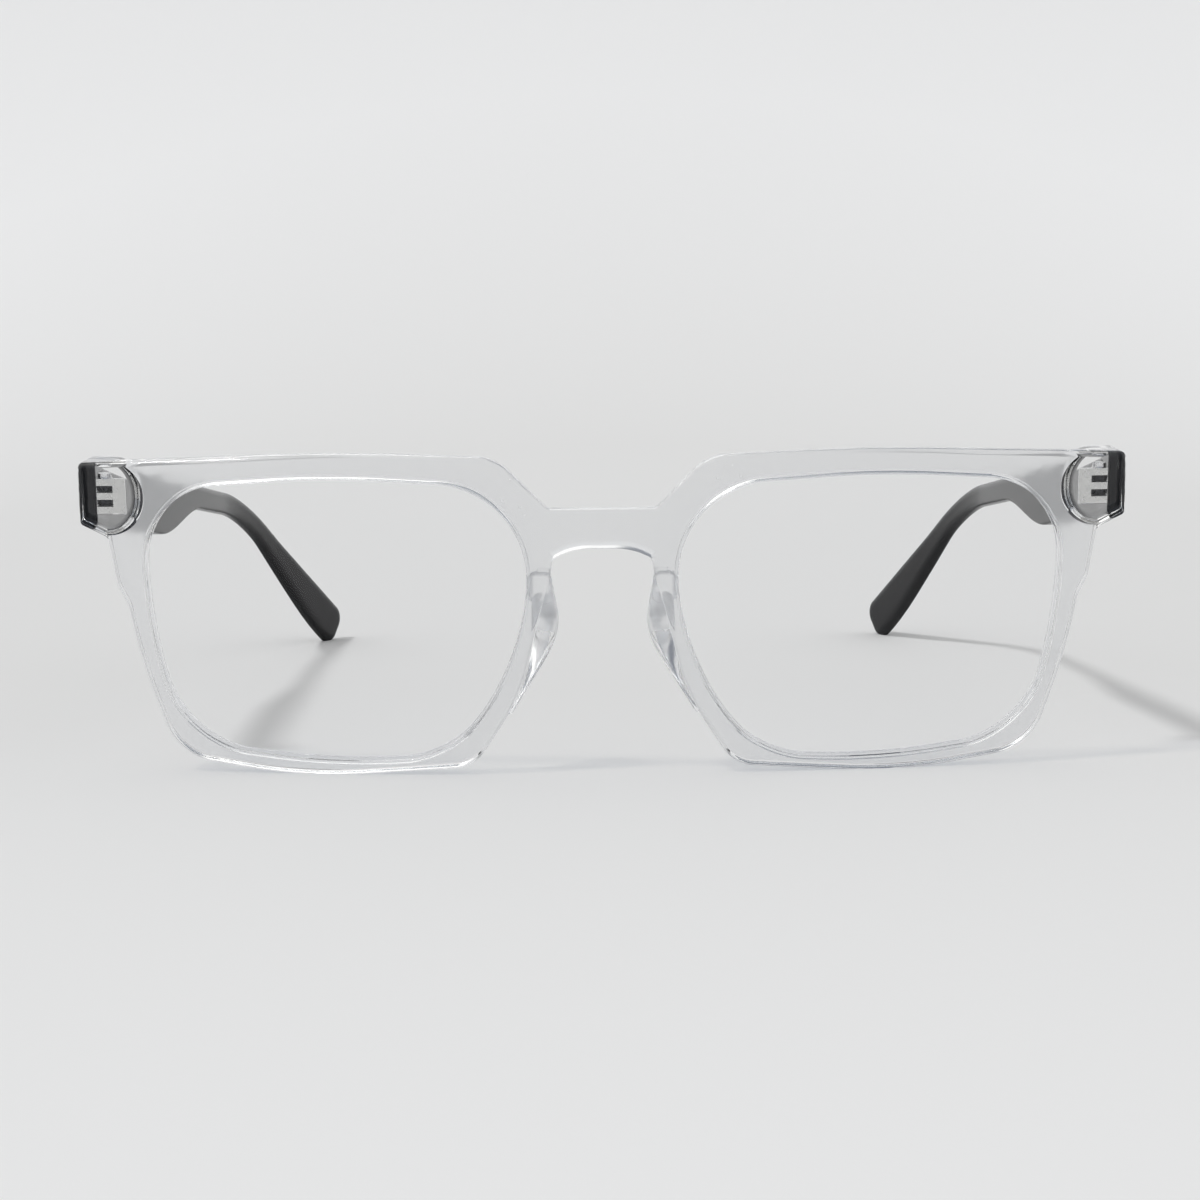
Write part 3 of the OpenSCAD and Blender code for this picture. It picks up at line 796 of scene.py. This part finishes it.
stops = [0.02] + [TAPER_START + TAPER_L * k / 24 for k in range(25)]
stops += [ARM_L + bend_l * k / 18 for k in range(19)]
stops += [ARM_L + bend_l + (DROP_L - 4.2) * k / 8 for k in range(1, 9)]
hinge_top, hinge_foot = guide(stops[0]), under(stops[0])
hinge_low_z = hinge_foot.z + (hinge_top.x - hinge_foot.x) * math.tan(SLOPE)
tip_top, heel = guide(total_l), under(total_l)
temple_outline = rounded(
    [(hinge_top.x, hinge_top.z, 0.5)]
    + [(guide(s).x, guide(s).z, 0) for s in stops[1:]]
    + [(tip_top.x, tip_top.z, TIP_R), (heel.x, heel.z, HEEL_R)]
    + [(under(s).x, under(s).z, 0) for s in reversed(stops[1:])]
    + [(hinge_top.x, hinge_low_z, 0.5)]
)
seat_end = END_DEPTH + LEAF_L + 4
ear_mid = arm_end_y + EAR_LAG


def inner_x(y):
    """The temple's inner face, seen from above."""
    into_bend = max(0, min(EAR_SPAN, y - ear_mid + EAR_SPAN / 2))
    past_bend = max(0, y - ear_mid - EAR_SPAN / 2)
    run_in = ARM_IN * max(0, y - seat_end)
    run_in += (DROP_IN - ARM_IN) * (into_bend**2 / (2 * EAR_SPAN) + past_bend)
    return end_x - TEMPLE_T - run_in


def softer_tip(p, out, step):
    """The temple's edges are slightly rounded at the hinge, and well rounded behind the ear."""
    growth, depth = step
    softness = ease((p.x - SOFT_FROM) / SOFT_OVER)
    from_face = min(depth, TEMPLE_T - depth) * (1 + 1.1 * softness)
    depth = from_face if depth < TEMPLE_T / 2 else TEMPLE_T - from_face
    return p + out * growth * (1 + 2.4 * softness) + Vector((0, depth, 0))


BLACK = (0.004, 0.004, 0.005, 1)
satin, shader = marked("satin_black", BLACK, 5200, 0.17, 0.21, 0.0000002, 0.05)
shader.inputs["Specular IOR Level"].default_value = 0.33
cut_end, shader = marked("matt_black_end", BLACK, 2600, 0.5, 0.62, 0.000002, 0.1)
shader.inputs["Specular IOR Level"].default_value = 0.08
temple_walls = round_edge(EDGE_ROUND, 0, parts=5)
temple_walls += round_edge(EDGE_ROUND, TEMPLE_T, back=True, parts=5)
for side, name in ((1, "left"), (-1, "right")):
    bm = bmesh.new()
    close_ends(bm, swept(bm, temple_outline, temple_walls, softer_tip))
    cut_strips(bm, END_DEPTH + 2, END_DEPTH + 128, 2)
    for v in bm.verts:
        v.co = Vector((side * (inner_x(v.co.x) + v.co.y), v.co.x, v.co.z))
    temple = new_piece(name + "_temple_arm", bm, "temple_" + name)
    seat_size = (
        2 * (LEAF_T + POCKET_PLAY), LEAF_L + 2 * POCKET_PLAY, HINGE_H + 2 * POCKET_PLAY,
    )
    seat_spot = (side * (end_x - TEMPLE_T), HINGE.y + LEAF_L / 2, HINGE.z)
    pocket = new_piece("pocket", block(seat_size, seat_spot), None)
    worked(temple, "DIFFERENCE", [pocket, table_block()])
    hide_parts(name + "_temple")
    temple.data.materials.clear()
    temple.data.materials.append(satin)
    temple.data.materials.append(cut_end)
    for face in temple.data.polygons:
        at_hinge = (to_front @ face.center).y < END_DEPTH + 1
        if face.normal.dot(facing_back) < -0.6 and at_hinge:
            face.material_index = 1
    soften(temple, 32)
